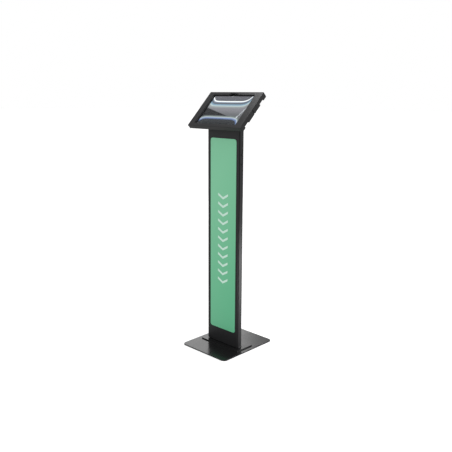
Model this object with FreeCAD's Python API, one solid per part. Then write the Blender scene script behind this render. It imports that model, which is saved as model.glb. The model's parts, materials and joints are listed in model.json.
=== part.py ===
"""Free-standing touchscreen kiosk: base plate, sheet-steel column with a sign panel, and a tablet head at 45 degrees.

Millimetres, +Z up. The screen faces -Y. The origin is on the floor, under the middle of the base plate.
Head pieces are drawn in the head's own frame (x across, y up the face, z out of the face, 0 at the face's middle)
and are then put in place by at_head().
"""
import FreeCAD, Part
import math
import os

from FreeCAD import Placement, Rotation, Vector

# ---------------------------------------------------------------- base
BASE_W = 280.0
BASE_D = 334.7
BASE_T = 5.0
BASE_CORNER_R = 20.0
PAD_R = 11.0
PAD_T = 2.0
PAD_PROUD = 1.0
PAD_INSET = 26.0
PAD_RIM = 0.3

FOOT_SIDE = 21.8
FOOT_D = 106.0
FOOT_T = 5.0
FOOT_Y = -7.0
FOOT_CORNER_R = 3.0
FOOT_SCREW_R = 3.0
FOOT_SCREW_HEAD_R = 6.0
FOOT_SCREW_INSET = 16.0
FOOT_SCREW_BITE = 4.0

# ---------------------------------------------------------------- column
COLUMN_W = 192.4
COLUMN_FRONT_Y = -36.0
COLUMN_BACK_Y = -5.6
COLUMN_TOP_Z = 1024.0
COLUMN_SHEET = 1.5
COLUMN_BEND_R = 2.5
LIP = 14.0
CAP_T = 3.0

SIGN_SHEET = 2.0
SIGN_BOTTOM_GAP = 2.0
SIGN_TOP_GAP = 4.0
SHADOW_GAP = 4.4
PANEL_SIDE = 16.1
PANEL_TOP = 35.8
PANEL_BOTTOM = 71.0
PANEL_T = 1.8
PANEL_R = 12.0
PANEL_GAP = 1.5
BACKER_T = 1.5
BACKER_LAP = 2.0
MAGNET_R = 3.5
MAGNET_AIR = 0.4
MAGNETS_PER_SIDE = 4
FIXING_INSET = 8.6
FLANGE_INSET = 3.2
FLANGE_T = 1.5
PEG_R = 2.5
PEG_REACH = 10.0
PEG_CLEARANCE = 0.35
PEG_END_INSET = 26.0

GROMMET_Z = 60.0
GROMMET_R = 11.0
GROMMET_WALL = 2.5
GROMMET_LIP = 1.6

SIDE_HOLE_R = 2.5
SIDE_HOLE_SPACING = 42.6
SIDE_HOLE_DROP = 129.0
SIDE_HOLE_BACK = 10.5
SIDE_INSERT_R = 3.6
SIDE_INSERT_RIM_R = 4.6
SIDE_INSERT_RIM_T = 0.6
SIDE_INSERT_L = 12.0

# ---------------------------------------------------------------- neck
NECK_RISE = 25.85
NECK_EAR_IN = 30.0
NECK_EAR_T = 4.0
NECK_R = 12.0
NECK_BASE_T = 4.0
NECK_CABLE_R = 10.0
NECK_SCREW_X = 20.0
NECK_SCREW_R = 3.0
NECK_SCREW_HEAD_R = 5.0
NECK_SCREW_HEAD_T = 3.2
NECK_SCREW_REACH = 14.0
BOLT_R = 5.0
BOLT_HEAD_R = 9.0
BOLT_HEAD_T = 6.0
NUT_T = 8.0
WASHER_R = 11.0
WASHER_T = 1.2
WASHER_AIR = 0.1
RUNNING = 0.05

TILT_EAR_T = 4.0
TILT_EAR_R = 13.0
TILT_PLATE = 124.0
TILT_PLATE_T = 4.0
TILT_PLATE_R = 10.0
TILT_EAR_FOOT = 44.0
HINGE_STANDOFF = 17.7
HINGE_V = -34.5

# ---------------------------------------------------------------- turntable
TURN_RIM = 9.3
TURN_T = 3.0
TURN_AIR = 0.3
HUB_R = 16.0
HUB_WALL = 4.0
HUB_REACH = 13.0
BUSH_WALL = 4.0
RING_RIM = 6.0
RING_T = 2.4
THRUST_RIM = 7.0
THRUST_T = 1.0
THRUST_AIR = 0.1
STOP_RADIUS = 48.0
STOP_PIN_R = 3.0
STOP_CLEARANCE = 0.3
STOP_START = 45.0
STOP_SWING = 90.0

# ---------------------------------------------------------------- head
HEAD_TILT = 45.0
HEAD_SIDE = 22.5
HEAD_END = 6.6
RIM_DEPTH = 25.0
WALL_DEPTH = 15.7
FRAME_SHEET = 2.0
FRAME_CORNER_R = 3.0
FRAME_EDGE_R = 1.2
RIM_BACK_R = 6.5
NOTCH_L = 30.0
NOTCH_INSET = 24.6
NOTCH_DEPTH = 7.1
SLOT_W = 4.0
SLOT_START = 3.0
WINDOW_LAP_SIDE = 14.0
WINDOW_LAP_END = 9.5
WINDOW_X = -3.0
WINDOW_R = 2.0
CAMERA_X = -6.0
CAMERA_NOTCH_BASE = 52.0
CAMERA_NOTCH_TOP = 38.0
CAMERA_NOTCH_H = 9.0

SCREEN_RECESS = 7.0
GASKET_W = 11.0
GASKET_AIR = 0.3

TRAY_GAP = 1.5
TRAY_END_GAP = 0.8
TRAY_SHEET = 1.5
TRAY_FRONT = 8.5
TRAY_CORNER_R = 5.0
TRAY_BEND_R = 2.5
TRAY_NOTCH_IN = 8.0
TRAY_CABLE_RIM = 2.0

PIVOT_V_INSET = 7.6
PIVOT_DEPTH = 20.0
PIVOT_R = 2.0
PIVOT_HEAD_R = 3.6
PIVOT_HEAD_T = 1.2

VESA = 100.0
VESA_SCREW_R = 2.0
VESA_HEAD_R = 4.0
VESA_HEAD_T = 2.2
VESA_CLEARANCE = 0.25

# ---------------------------------------------------------------- tablet
TABLET_W = 280.0
TABLET_H = 196.0
TABLET_T = 7.0
TABLET_R = 10.0
GLASS_T = 0.8
GLASS_INSET = 0.4
SHELL_WALL = 1.4
SHELL_FLOOR = 1.0
DISPLAY_SIDE = 17.0
DISPLAY_END = 13.0
DISPLAY_T = 1.2
LENS_R = 2.2
LENS_BELOW_EDGE = 4.4
BATTERY_SIDE = 55.0
BATTERY_END = 46.0
BATTERY_T = 3.0
BATTERY_R = 3.0
BATTERY_DROP = 18.0
BOARD_SIDE = 50.0
BOARD_H = 34.0
BOARD_BELOW_TOP = 36.0
BOARD_T = 1.6
BOARD_LIFT = 1.0
BOARD_OFFSET = 30.0
POWER_INSET = 36.0
POWER_L = 14.0
VOLUME_FROM_POWER = 36.0
VOLUME_L = 26.0
BUTTON_W = 2.4
BUTTON_PROUD = 0.7
BUTTON_DEEP = 2.4
BUTTON_AIR = 0.3

BLOCK_LONG = 18.0
BLOCK_SHELF = 12.0
BLOCK_AIR = 0.3
BLOCK_WALL_GAP = 1.2
BLOCK_GRIP = 6.0
BACK_PAD_R = 12.0
BACK_PAD_SIDE = 50.0
BACK_PAD_END = 36.0

# ---------------------------------------------------------------- lock
LOCK_BARREL_R = 6.0
LOCK_PLUG_R = 3.5
LOCK_FLANGE_R = 7.5
LOCK_FLANGE_T = 3.0
LOCK_NUT_R = 8.0
LOCK_NUT_T = 2.5
LOCK_CAM_T = 1.6
LOCK_CAM_W = 8.0
LOCK_CAM_DEPTH = 9.2
LOCK_CAM_REACH = 11.0
LOCK_AIR = 0.3
LOCK_X_INSET = 10.0
KEY_SLOT_W = 1.0
KEY_SLOT_L = 5.0
KEY_SLOT_DEEP = 3.0
CAM_SCREW_R = 2.8
CAM_SCREW_T = 1.4
KEEPER_T = 1.6
KEEPER_W = 20.0
KEEPER_LIP = 4.5
KEEPER_LEG = 8.0
KEEPER_LEG_T = 1.0
KEEPER_RIVET_R = 1.2
KEEPER_RIVET_V = 7.0

# ---------------------------------------------------------------- places worked out from the sizes above
BASE_TOP = PAD_PROUD + BASE_T
FOOT_TOP = BASE_TOP + FOOT_T
CHANNEL_FRONT_Y = COLUMN_FRONT_Y + SIGN_SHEET + SHADOW_GAP
HALF_COLUMN = COLUMN_W / 2
FOOT_W = COLUMN_W + 2 * FOOT_SIDE
SIGN_BOTTOM = FOOT_TOP + SIGN_BOTTOM_GAP
SIGN_TOP = COLUMN_TOP_Z - SIGN_TOP_GAP
PANEL_W = COLUMN_W - 2 * PANEL_SIDE
PANEL_H = SIGN_TOP - PANEL_TOP - FOOT_TOP - PANEL_BOTTOM
NECK_Y = (CHANNEL_FRONT_Y + COLUMN_BACK_Y) / 2
SIDE_HOLE_Y = CHANNEL_FRONT_Y + SIDE_HOLE_BACK
CAP_TOP = COLUMN_TOP_Z + CAP_T
HINGE_Z = CAP_TOP + NECK_RISE
TILT = math.radians(HEAD_TILT)
HINGE_BEHIND = RIM_DEPTH + TURN_T + TURN_AIR + TILT_PLATE_T + HINGE_STANDOFF
FACE_Y = NECK_Y - HINGE_V * math.cos(TILT) - HINGE_BEHIND * math.sin(TILT)
FACE_Z = HINGE_Z - HINGE_V * math.sin(TILT) + HINGE_BEHIND * math.cos(TILT)
HEAD_W = TABLET_W + 2 * HEAD_SIDE
HEAD_H = TABLET_H + 2 * HEAD_END
HALF_W = HEAD_W / 2
HALF_H = HEAD_H / 2
WINDOW_W = TABLET_W - 2 * WINDOW_LAP_SIDE
WINDOW_H = TABLET_H - 2 * WINDOW_LAP_END
NOTCH_MID = HALF_H - NOTCH_INSET - NOTCH_L / 2
TRAY_HALF_W = HALF_W - FRAME_SHEET - TRAY_GAP
TRAY_HALF_H = HALF_H - FRAME_SHEET - TRAY_END_GAP
TRAY_FLOOR = -RIM_DEPTH + TRAY_SHEET
PIVOT_V = HALF_H - PIVOT_V_INSET
TURN_R = math.hypot(VESA / 2, VESA / 2) + TURN_RIM
HUB_BORE_R = HUB_R - HUB_WALL
RING_R = HUB_R + RING_RIM
THRUST_R = HUB_R + THRUST_RIM
TRAY_CABLE_R = HUB_BORE_R + TRAY_CABLE_RIM
TURN_BACK = -RIM_DEPTH - TURN_T
TILT_FRONT = TURN_BACK - TURN_AIR
TILT_BACK = TILT_FRONT - TILT_PLATE_T
TABLET_FRONT = -SCREEN_RECESS
TABLET_BACK = TABLET_FRONT - TABLET_T
GLASS_BACK = TABLET_FRONT - GLASS_T
LOCK_X = TRAY_HALF_W - LOCK_X_INSET
POWER_X = TABLET_W / 2 - POWER_INSET
VOLUME_X = POWER_X - VOLUME_FROM_POWER


# ---------------------------------------------------------------- shape helpers
def block(x0, x1, y0, y1, z0, z1):
    """A box between two corners."""
    return Part.makeBox(x1 - x0, y1 - y0, z1 - z0, Vector(x0, y0, z0))


def centred(width, height, z0, z1, x=0.0, y=0.0):
    """A box centred on x, y."""
    return block(x - width / 2, x + width / 2, y - height / 2, y + height / 2, z0, z1)


def edges_along(shape, direction):
    """The straight edges of a shape that run along a direction."""
    found = []
    for edge in shape.Edges:
        run = edge.Vertexes[-1].Point.sub(edge.Vertexes[0].Point)
        if run.Length > 1e-6 and run.cross(direction).Length < 1e-6 * run.Length + 1e-9:
            found.append(edge)
    return found


def edges_at(shape, z):
    """The edges of a shape that lie in the plane at height z."""
    return [e for e in shape.Edges if abs(e.BoundBox.ZMin - z) < 1e-6 and abs(e.BoundBox.ZMax - z) < 1e-6]


def rounded(width, height, z0, z1, r, x=0.0, y=0.0):
    """A centred box with its four upright edges rounded."""
    plain = centred(width, height, z0, z1, x, y)
    return plain.makeFillet(r, edges_along(plain, Vector(0, 0, 1)))


def rod(r, start, end):
    """A cylinder from one point to another."""
    run = Vector(*end).sub(Vector(*start))
    return Part.makeCylinder(r, run.Length, Vector(*start), run)


def ring(r_out, r_in, start, end):
    """A tube from one point to another."""
    return rod(r_out, start, end).cut(rod(r_in, start, end))


def hexagon(across_corners_r, start, end):
    """A hexagonal bar along X or Z from one point to another."""
    origin = Vector(*start)
    run = Vector(*end).sub(origin)
    side = Vector(0, 1, 0)
    other = run.cross(side).normalize()
    corners = []
    for k in range(7):
        a = math.radians(60 * k)
        corners.append(origin + side * (across_corners_r * math.cos(a)) + other * (across_corners_r * math.sin(a)))
    return Part.Face(Part.makePolygon(corners)).extrude(run)


def prism_x(points, x0, x1):
    """A flat outline given as (y, z) points, extruded along X."""
    corners = [Vector(x0, y, z) for y, z in points]
    return Part.Face(Part.makePolygon(corners + corners[:1])).extrude(Vector(x1 - x0, 0, 0))


def fuse(shapes):
    """One clean solid from touching or overlapping shapes."""
    whole = shapes[0]
    for shape in shapes[1:]:
        whole = whole.fuse(shape)
    return whole.removeSplitter()


def cut_all(shape, tools):
    """A shape with every tool cut away."""
    for tool in tools:
        shape = shape.cut(tool)
    return shape


def both_sides(shape):
    """A shape and its mirror image across X = 0."""
    return [shape, shape.mirror(Vector(0, 0, 0), Vector(1, 0, 0))]


def corners(dx, dy):
    """The four corners of a centred rectangle."""
    return [(x, y) for x in (-dx, dx) for y in (-dy, dy)]


def at_head(shape):
    """Moves a piece from the head's frame to its place on the kiosk."""
    placed = shape.copy()
    placed.Placement = Placement(Vector(0, FACE_Y, FACE_Z), Rotation(Vector(1, 0, 0), HEAD_TILT))
    return placed


def save(node, *shapes):
    """Writes one node, made of one or more separate solids."""
    solids = [solid for shape in shapes for solid in shape.Solids]
    whole = solids[0] if len(solids) == 1 else Part.makeCompound(solids)
    whole.exportStep("parts/" + node + ".step")


# ---------------------------------------------------------------- base
def pad_places():
    dx = BASE_W / 2 - PAD_INSET
    dy = BASE_D / 2 - PAD_INSET
    return corners(dx, dy) + [(-dx, 0.0), (dx, 0.0)]


def foot_screw_places():
    dx = FOOT_W / 2 - FOOT_SCREW_INSET
    dy = FOOT_D / 2 - FOOT_SCREW_INSET
    return [(x, FOOT_Y + y) for x, y in corners(dx, dy)]


def foot_screw(x, y):
    """Countersunk screw, put in from below."""
    cone_h = FOOT_SCREW_HEAD_R - FOOT_SCREW_R
    head = Part.makeCone(FOOT_SCREW_HEAD_R, FOOT_SCREW_R, cone_h, Vector(x, y, PAD_PROUD))
    shank = rod(FOOT_SCREW_R, (x, y, PAD_PROUD), (x, y, BASE_TOP + FOOT_SCREW_BITE))
    socket = hexagon(2.2, (x, y, PAD_PROUD), (x, y, PAD_PROUD + 1.6))
    return fuse([head, shank]), socket


def make_base():
    plate = rounded(BASE_W, BASE_D, PAD_PROUD, BASE_TOP, BASE_CORNER_R)
    plate = plate.makeFillet(0.6, edges_at(plate, BASE_TOP))
    foot = rounded(FOOT_W, FOOT_D, BASE_TOP, FOOT_TOP, FOOT_CORNER_R, y=FOOT_Y)
    pads = []
    for x, y in pad_places():
        pads.append(rod(PAD_R, (x, y, 0), (x, y, PAD_T)))
        plate = plate.cut(rod(PAD_R + PAD_RIM, (x, y, 0), (x, y, PAD_T)))
    screws = []
    for x, y in foot_screw_places():
        screw, socket = foot_screw(x, y)
        plate = plate.cut(screw)
        foot = foot.cut(screw)
        screws.append(screw.cut(socket))
    save("base_plate", plate)
    save("rubber_feet", *pads)
    save("foot_plate", foot)
    save("foot_screws", *screws)


# ---------------------------------------------------------------- column
def peg_places():
    x = HALF_COLUMN - FIXING_INSET
    return [(side * x, z) for side in (-1, 1) for z in (SIGN_BOTTOM + PEG_END_INSET, SIGN_TOP - PEG_END_INSET)]


def magnet_places():
    x = HALF_COLUMN - FIXING_INSET
    first = SIGN_BOTTOM + 2 * PEG_END_INSET
    step = (SIGN_TOP - SIGN_BOTTOM - 4 * PEG_END_INSET) / (MAGNETS_PER_SIDE - 1)
    return [(side * x, first + k * step) for side in (-1, 1) for k in range(MAGNETS_PER_SIDE)]


def side_hole_places():
    top = COLUMN_TOP_Z - SIDE_HOLE_DROP
    return [top + SIDE_HOLE_SPACING / 2, top - SIDE_HOLE_SPACING / 2]


def make_channel():
    height = COLUMN_TOP_Z - FOOT_TOP
    depth = COLUMN_BACK_Y - CHANNEL_FRONT_Y
    mid_y = (COLUMN_BACK_Y + CHANNEL_FRONT_Y) / 2
    outer = rounded(COLUMN_W, depth, FOOT_TOP, COLUMN_TOP_Z, COLUMN_BEND_R, y=mid_y)
    inner = rounded(COLUMN_W - 2 * COLUMN_SHEET, depth - 2 * COLUMN_SHEET, FOOT_TOP, COLUMN_TOP_Z,
                    COLUMN_BEND_R - COLUMN_SHEET, y=mid_y)
    mouth = block(-HALF_COLUMN + LIP, HALF_COLUMN - LIP, CHANNEL_FRONT_Y - 1, CHANNEL_FRONT_Y + COLUMN_SHEET + 1,
                  FOOT_TOP, FOOT_TOP + height)
    channel = outer.cut(inner).cut(mouth)
    for x, z in peg_places():
        channel = channel.cut(rod(PEG_R + PEG_CLEARANCE, (x, CHANNEL_FRONT_Y - 1, z),
                                  (x, CHANNEL_FRONT_Y + COLUMN_SHEET + 1, z)))
    for z in side_hole_places():
        channel = channel.cut(rod(SIDE_INSERT_R, (-HALF_COLUMN - 1, SIDE_HOLE_Y, z), (HALF_COLUMN + 1, SIDE_HOLE_Y, z)))
    cable_hole = rod(GROMMET_R, (0, COLUMN_BACK_Y - 2 * COLUMN_SHEET, GROMMET_Z), (0, COLUMN_BACK_Y + 1, GROMMET_Z))
    save("column_channel", channel.cut(cable_hole))


def make_column_trim():
    cap = rounded(COLUMN_W, COLUMN_BACK_Y - CHANNEL_FRONT_Y, COLUMN_TOP_Z, CAP_TOP, COLUMN_BEND_R,
                  y=(COLUMN_BACK_Y + CHANNEL_FRONT_Y) / 2)
    cap = cap.cut(rod(NECK_CABLE_R, (0, NECK_Y, COLUMN_TOP_Z), (0, NECK_Y, CAP_TOP)))
    for x in (-NECK_SCREW_X, NECK_SCREW_X):
        cap = cap.cut(rod(NECK_SCREW_R, (x, NECK_Y, COLUMN_TOP_Z), (x, NECK_Y, CAP_TOP)))
    save("column_cap", cap)

    web_out = COLUMN_BACK_Y
    web_in = COLUMN_BACK_Y - COLUMN_SHEET
    z = GROMMET_Z
    grommet = fuse([
        rod(GROMMET_R, (0, web_in, z), (0, web_out, z)),
        rod(GROMMET_R + GROMMET_LIP, (0, web_out, z), (0, web_out + GROMMET_LIP, z)),
        rod(GROMMET_R + GROMMET_LIP, (0, web_in - GROMMET_LIP, z), (0, web_in, z)),
    ])
    bore = rod(GROMMET_R - GROMMET_WALL, (0, web_in - GROMMET_LIP, z), (0, web_out + GROMMET_LIP, z))
    save("cable_grommet", grommet.cut(bore))

    inserts = []
    for z in side_hole_places():
        body = ring(SIDE_INSERT_R, SIDE_HOLE_R, (HALF_COLUMN, SIDE_HOLE_Y, z),
                    (HALF_COLUMN - SIDE_INSERT_L, SIDE_HOLE_Y, z))
        rim = ring(SIDE_INSERT_RIM_R, SIDE_HOLE_R, (HALF_COLUMN, SIDE_HOLE_Y, z),
                   (HALF_COLUMN + SIDE_INSERT_RIM_T, SIDE_HOLE_Y, z))
        inserts += both_sides(fuse([body, rim]))
    save("side_inserts", *inserts)


def make_sign():
    plate_back = COLUMN_FRONT_Y + SIGN_SHEET
    window_w = PANEL_W + 2 * PANEL_GAP
    window_h = PANEL_H + 2 * PANEL_GAP
    panel_mid = FOOT_TOP + PANEL_BOTTOM + PANEL_H / 2
    upright = Rotation(Vector(1, 0, 0), 90)

    def standing(width, height, thick, r, front_y, mid_z):
        """A rounded plate that stands upright with its front face at front_y."""
        plate = rounded(width, height, -thick, 0, r)
        plate.Placement = Placement(Vector(0, front_y, mid_z), upright)
        return plate

    cover = block(-HALF_COLUMN, HALF_COLUMN, COLUMN_FRONT_Y, plate_back, SIGN_BOTTOM, SIGN_TOP)
    cover = cover.makeFillet(0.8, [e for e in edges_along(cover, Vector(0, 0, 1)) if e.BoundBox.YMax < plate_back - 0.5])
    window = standing(window_w, window_h, SIGN_SHEET, PANEL_R + PANEL_GAP, COLUMN_FRONT_Y, panel_mid)
    flange_back = CHANNEL_FRONT_Y - MAGNET_AIR
    flange_w = COLUMN_W - 2 * FLANGE_INSET
    flange_lo = SIGN_BOTTOM + FLANGE_INSET
    flange_hi = SIGN_TOP - FLANGE_INSET
    flange = block(-flange_w / 2, flange_w / 2, plate_back, flange_back, flange_lo, flange_hi)
    flange = flange.cut(block(-flange_w / 2 + FLANGE_T, flange_w / 2 - FLANGE_T, plate_back, flange_back,
                              flange_lo + FLANGE_T, flange_hi - FLANGE_T))
    save("sign_frame", fuse([cover.cut(window), flange]))
    save("sign_panel", standing(PANEL_W, PANEL_H, PANEL_T, PANEL_R, plate_back - PANEL_T, panel_mid))
    save("sign_backer", standing(window_w + 2 * BACKER_LAP, window_h + 2 * BACKER_LAP, BACKER_T, PANEL_R,
                                 plate_back, panel_mid))
    magnet_back = CHANNEL_FRONT_Y - MAGNET_AIR
    save("sign_magnets", *[rod(MAGNET_R, (x, plate_back, z), (x, magnet_back, z)) for x, z in magnet_places()])
    save("sign_pegs", *[rod(PEG_R, (x, plate_back, z), (x, plate_back + PEG_REACH, z)) for x, z in peg_places()])


# ---------------------------------------------------------------- neck
def make_neck():
    ear_out = NECK_EAR_IN + NECK_EAR_T
    half_d = NECK_R
    base = block(-ear_out, ear_out, NECK_Y - half_d, NECK_Y + half_d, CAP_TOP, CAP_TOP + NECK_BASE_T)
    ear = block(NECK_EAR_IN, ear_out, NECK_Y - half_d, NECK_Y + half_d, CAP_TOP, HINGE_Z)
    ear = ear.fuse(rod(NECK_R, (NECK_EAR_IN, NECK_Y, HINGE_Z), (ear_out, NECK_Y, HINGE_Z)))
    bracket = fuse([base] + both_sides(ear))
    bracket = bracket.cut(rod(BOLT_R, (-ear_out, NECK_Y, HINGE_Z), (ear_out, NECK_Y, HINGE_Z)))
    bracket = bracket.cut(rod(NECK_CABLE_R, (0, NECK_Y, CAP_TOP), (0, NECK_Y, CAP_TOP + NECK_BASE_T)))
    screws = []
    for x in (-NECK_SCREW_X, NECK_SCREW_X):
        seat = CAP_TOP + NECK_BASE_T
        shank = rod(NECK_SCREW_R, (x, NECK_Y, seat - NECK_SCREW_REACH), (x, NECK_Y, seat))
        head = rod(NECK_SCREW_HEAD_R, (x, NECK_Y, seat), (x, NECK_Y, seat + NECK_SCREW_HEAD_T))
        head = head.makeFillet(0.8, edges_at(head, seat + NECK_SCREW_HEAD_T))
        bracket = bracket.cut(shank)
        socket = hexagon(2.3, (x, NECK_Y, seat + 1.2), (x, NECK_Y, seat + NECK_SCREW_HEAD_T))
        screws.append(fuse([shank, head]).cut(socket))
    save("neck_bracket", bracket)
    save("neck_screws", *screws)

    tilt_in = ear_out + WASHER_T + 2 * WASHER_AIR
    tilt_out = tilt_in + TILT_EAR_T
    seat = tilt_out + WASHER_T + 2 * WASHER_AIR
    at = (NECK_Y, HINGE_Z)
    inner = ring(WASHER_R, BOLT_R, (ear_out + WASHER_AIR, *at), (ear_out + WASHER_AIR + WASHER_T, *at))
    outer = ring(WASHER_R, BOLT_R, (tilt_out + WASHER_AIR, *at), (tilt_out + WASHER_AIR + WASHER_T, *at))
    save("friction_washers", *(both_sides(inner) + both_sides(outer)))
    shank = rod(BOLT_R, (-seat, *at), (seat + NUT_T + 2, *at))
    head = hexagon(BOLT_HEAD_R, (-seat - BOLT_HEAD_T, *at), (-seat, *at))
    save("tilt_bolt", fuse([shank, head]))
    save("tilt_nut", hexagon(BOLT_HEAD_R, (seat, *at), (seat + NUT_T, *at)).cut(shank))
    return tilt_in, tilt_out


def make_tilt_bracket(tilt_in, tilt_out):
    """Plate behind the turntable with two ears down to the tilt bolt."""
    plate = rounded(TILT_PLATE, TILT_PLATE, TILT_BACK, TILT_FRONT, TILT_PLATE_R)
    foot_lo = HINGE_V - TILT_EAR_FOOT / 2
    foot_hi = HINGE_V + TILT_EAR_FOOT / 2
    outline = [(foot_lo, TILT_BACK), (foot_hi, TILT_BACK),
               (HINGE_V + TILT_EAR_R, -HINGE_BEHIND), (HINGE_V - TILT_EAR_R, -HINGE_BEHIND)]
    ear = prism_x(outline, tilt_in, tilt_out)
    ear = ear.fuse(rod(TILT_EAR_R, (tilt_in, HINGE_V, -HINGE_BEHIND), (tilt_out, HINGE_V, -HINGE_BEHIND)))
    bracket = fuse([plate] + both_sides(ear))
    bore = rod(BOLT_R + RUNNING, (-tilt_out - 1, HINGE_V, -HINGE_BEHIND), (tilt_out + 1, HINGE_V, -HINGE_BEHIND))
    bush_r = HUB_R + BUSH_WALL
    bracket = bracket.cut(bore).cut(rod(bush_r, (0, 0, TILT_BACK), (0, 0, TILT_FRONT)))
    save("tilt_bracket", at_head(bracket.cut(stop_slot())))
    save("turn_bush", at_head(ring(bush_r, HUB_R + RUNNING, (0, 0, TILT_BACK), (0, 0, TILT_FRONT))))


def stop_slot():
    """Arc slot that lets the stop pin swing through a quarter turn."""
    r = STOP_PIN_R + STOP_CLEARANCE
    band = ring(STOP_RADIUS + r, STOP_RADIUS - r, (0, 0, TILT_BACK), (0, 0, TILT_FRONT))
    reach = STOP_RADIUS + 2 * r
    a0 = math.radians(STOP_START)
    a1 = math.radians(STOP_START + STOP_SWING)
    wedge_points = [Vector(0, 0, TILT_BACK)]
    for k in range(7):
        a = a0 + (a1 - a0) * k / 6
        wedge_points.append(Vector(1.1 * reach * math.cos(a), 1.1 * reach * math.sin(a), TILT_BACK))
    wedge = Part.Face(Part.makePolygon(wedge_points + wedge_points[:1])).extrude(Vector(0, 0, TILT_PLATE_T))
    ends = []
    for a in (a0, a1):
        x = STOP_RADIUS * math.cos(a)
        y = STOP_RADIUS * math.sin(a)
        ends.append(rod(r, (x, y, TILT_BACK), (x, y, TILT_FRONT)))
    return fuse([band.common(wedge)] + ends)


def make_turntable():
    disc = rod(TURN_R, (0, 0, TURN_BACK), (0, 0, -RIM_DEPTH))
    hub = rod(HUB_R, (0, 0, TURN_BACK - HUB_REACH), (0, 0, TURN_BACK))
    bore = rod(HUB_BORE_R, (0, 0, TURN_BACK - HUB_REACH), (0, 0, -RIM_DEPTH))
    plate = fuse([disc, hub]).cut(bore)
    for x, y in corners(VESA / 2, VESA / 2):
        plate = plate.cut(rod(VESA_SCREW_R, (x, y, TURN_BACK), (x, y, -RIM_DEPTH)))
    a = math.radians(STOP_START)
    x = STOP_RADIUS * math.cos(a)
    y = STOP_RADIUS * math.sin(a)
    pin = rod(STOP_PIN_R, (x, y, TILT_BACK + 0.5), (x, y, -RIM_DEPTH))
    save("turn_plate", at_head(plate.cut(pin)))
    save("stop_pin", at_head(pin))
    thrust_front = TILT_BACK - THRUST_AIR
    thrust_back = thrust_front - THRUST_T
    save("turn_washer", at_head(ring(THRUST_R, HUB_R, (0, 0, thrust_back), (0, 0, thrust_front))))
    circlip = ring(RING_R, HUB_R, (0, 0, thrust_back - RING_T), (0, 0, thrust_back))
    gap = centred(7.0, RING_R * 2, thrust_back - RING_T, thrust_back, y=-RING_R)
    save("retaining_ring", at_head(circlip.cut(gap)))


# ---------------------------------------------------------------- head
def window_cut(z0, z1):
    """The frame's window with the camera notch in its upper edge."""
    opening = rounded(WINDOW_W, WINDOW_H, z0, z1, WINDOW_R, x=WINDOW_X)
    base_v = WINDOW_H / 2 - WINDOW_R
    top_v = WINDOW_H / 2 + CAMERA_NOTCH_H
    outline = [(-CAMERA_NOTCH_BASE / 2, base_v), (CAMERA_NOTCH_BASE / 2, base_v),
               (CAMERA_NOTCH_BASE / 2, WINDOW_H / 2), (CAMERA_NOTCH_TOP / 2, top_v),
               (-CAMERA_NOTCH_TOP / 2, top_v), (-CAMERA_NOTCH_BASE / 2, WINDOW_H / 2)]
    points = [Vector(CAMERA_X + x, v, z0) for x, v in outline]
    notch = Part.Face(Part.makePolygon(points + points[:1])).extrude(Vector(0, 0, z1 - z0))
    return fuse([opening, notch])


def rim_corner(side):
    """What rounds off a rim's back corner, at the top (1) or bottom (-1)."""
    v = side * (HALF_H - RIM_BACK_R)
    z = -RIM_DEPTH + RIM_BACK_R
    square = block(-HALF_W - 1, HALF_W + 1, min(v, v + side * (RIM_BACK_R + 1)), max(v, v + side * (RIM_BACK_R + 1)),
                   -RIM_DEPTH - 1, z)
    return square.cut(rod(RIM_BACK_R, (-HALF_W - 1, v, z), (HALF_W + 1, v, z)))


def make_front_frame():
    outer = rounded(HEAD_W, HEAD_H, -RIM_DEPTH, 0, FRAME_CORNER_R)
    outer = outer.makeFillet(FRAME_EDGE_R, edges_at(outer, 0))
    inner = rounded(HEAD_W - 2 * FRAME_SHEET, HEAD_H - 2 * FRAME_SHEET, -RIM_DEPTH, -FRAME_SHEET,
                    FRAME_CORNER_R - FRAME_SHEET)
    frame = outer.cut(inner).cut(window_cut(-FRAME_SHEET, 0))
    tools = [rim_corner(1), rim_corner(-1)]
    tools.append(centred(HEAD_W - 2 * FRAME_SHEET, HEAD_H + 2, -RIM_DEPTH - 1, -WALL_DEPTH))
    for v in (-NOTCH_MID, NOTCH_MID):
        tools.append(centred(HEAD_W + 2, NOTCH_L, -RIM_DEPTH - 1, -RIM_DEPTH + NOTCH_DEPTH, y=v))
    for side in (-1, 1):
        x = side * (HALF_W - FRAME_SHEET / 2)
        tools.append(centred(FRAME_SHEET + 2, SLOT_W, -RIM_DEPTH - 1, -SLOT_START, x=x))
    tools.append(rod(PIVOT_R + RUNNING, (-HALF_W - 1, PIVOT_V, -PIVOT_DEPTH), (HALF_W + 1, PIVOT_V, -PIVOT_DEPTH)))
    frame = cut_all(frame, tools)

    keeper_top = -LOCK_CAM_DEPTH - LOCK_CAM_T - LOCK_AIR
    wall = HALF_W - FRAME_SHEET
    lip = centred(KEEPER_LIP, KEEPER_W, keeper_top - KEEPER_T, keeper_top, x=wall - KEEPER_LIP / 2)
    leg = centred(KEEPER_LEG_T, KEEPER_W, keeper_top - KEEPER_LEG, keeper_top, x=wall - KEEPER_LEG_T / 2)
    keeper = fuse([lip, leg])
    rivets = []
    for v in (-KEEPER_RIVET_V, KEEPER_RIVET_V):
        z = keeper_top - (KEEPER_LEG + KEEPER_T) / 2
        rivet = rod(KEEPER_RIVET_R, (wall - KEEPER_LEG_T, v, z), (HALF_W, v, z))
        frame = frame.cut(rivet)
        keeper = keeper.cut(rivet)
        rivets.append(rivet)
    save("front_frame", at_head(frame))
    save("lock_keeper", at_head(keeper))
    save("keeper_rivets", at_head(Part.makeCompound(rivets)))

    gasket_front = -FRAME_SHEET
    gasket_back = TABLET_FRONT + GASKET_AIR
    gasket = centred(WINDOW_W + 2 * GASKET_W, WINDOW_H + 2 * GASKET_W, gasket_back, gasket_front, x=WINDOW_X)
    save("frame_gasket", at_head(gasket.cut(window_cut(gasket_back, gasket_front))))


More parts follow.
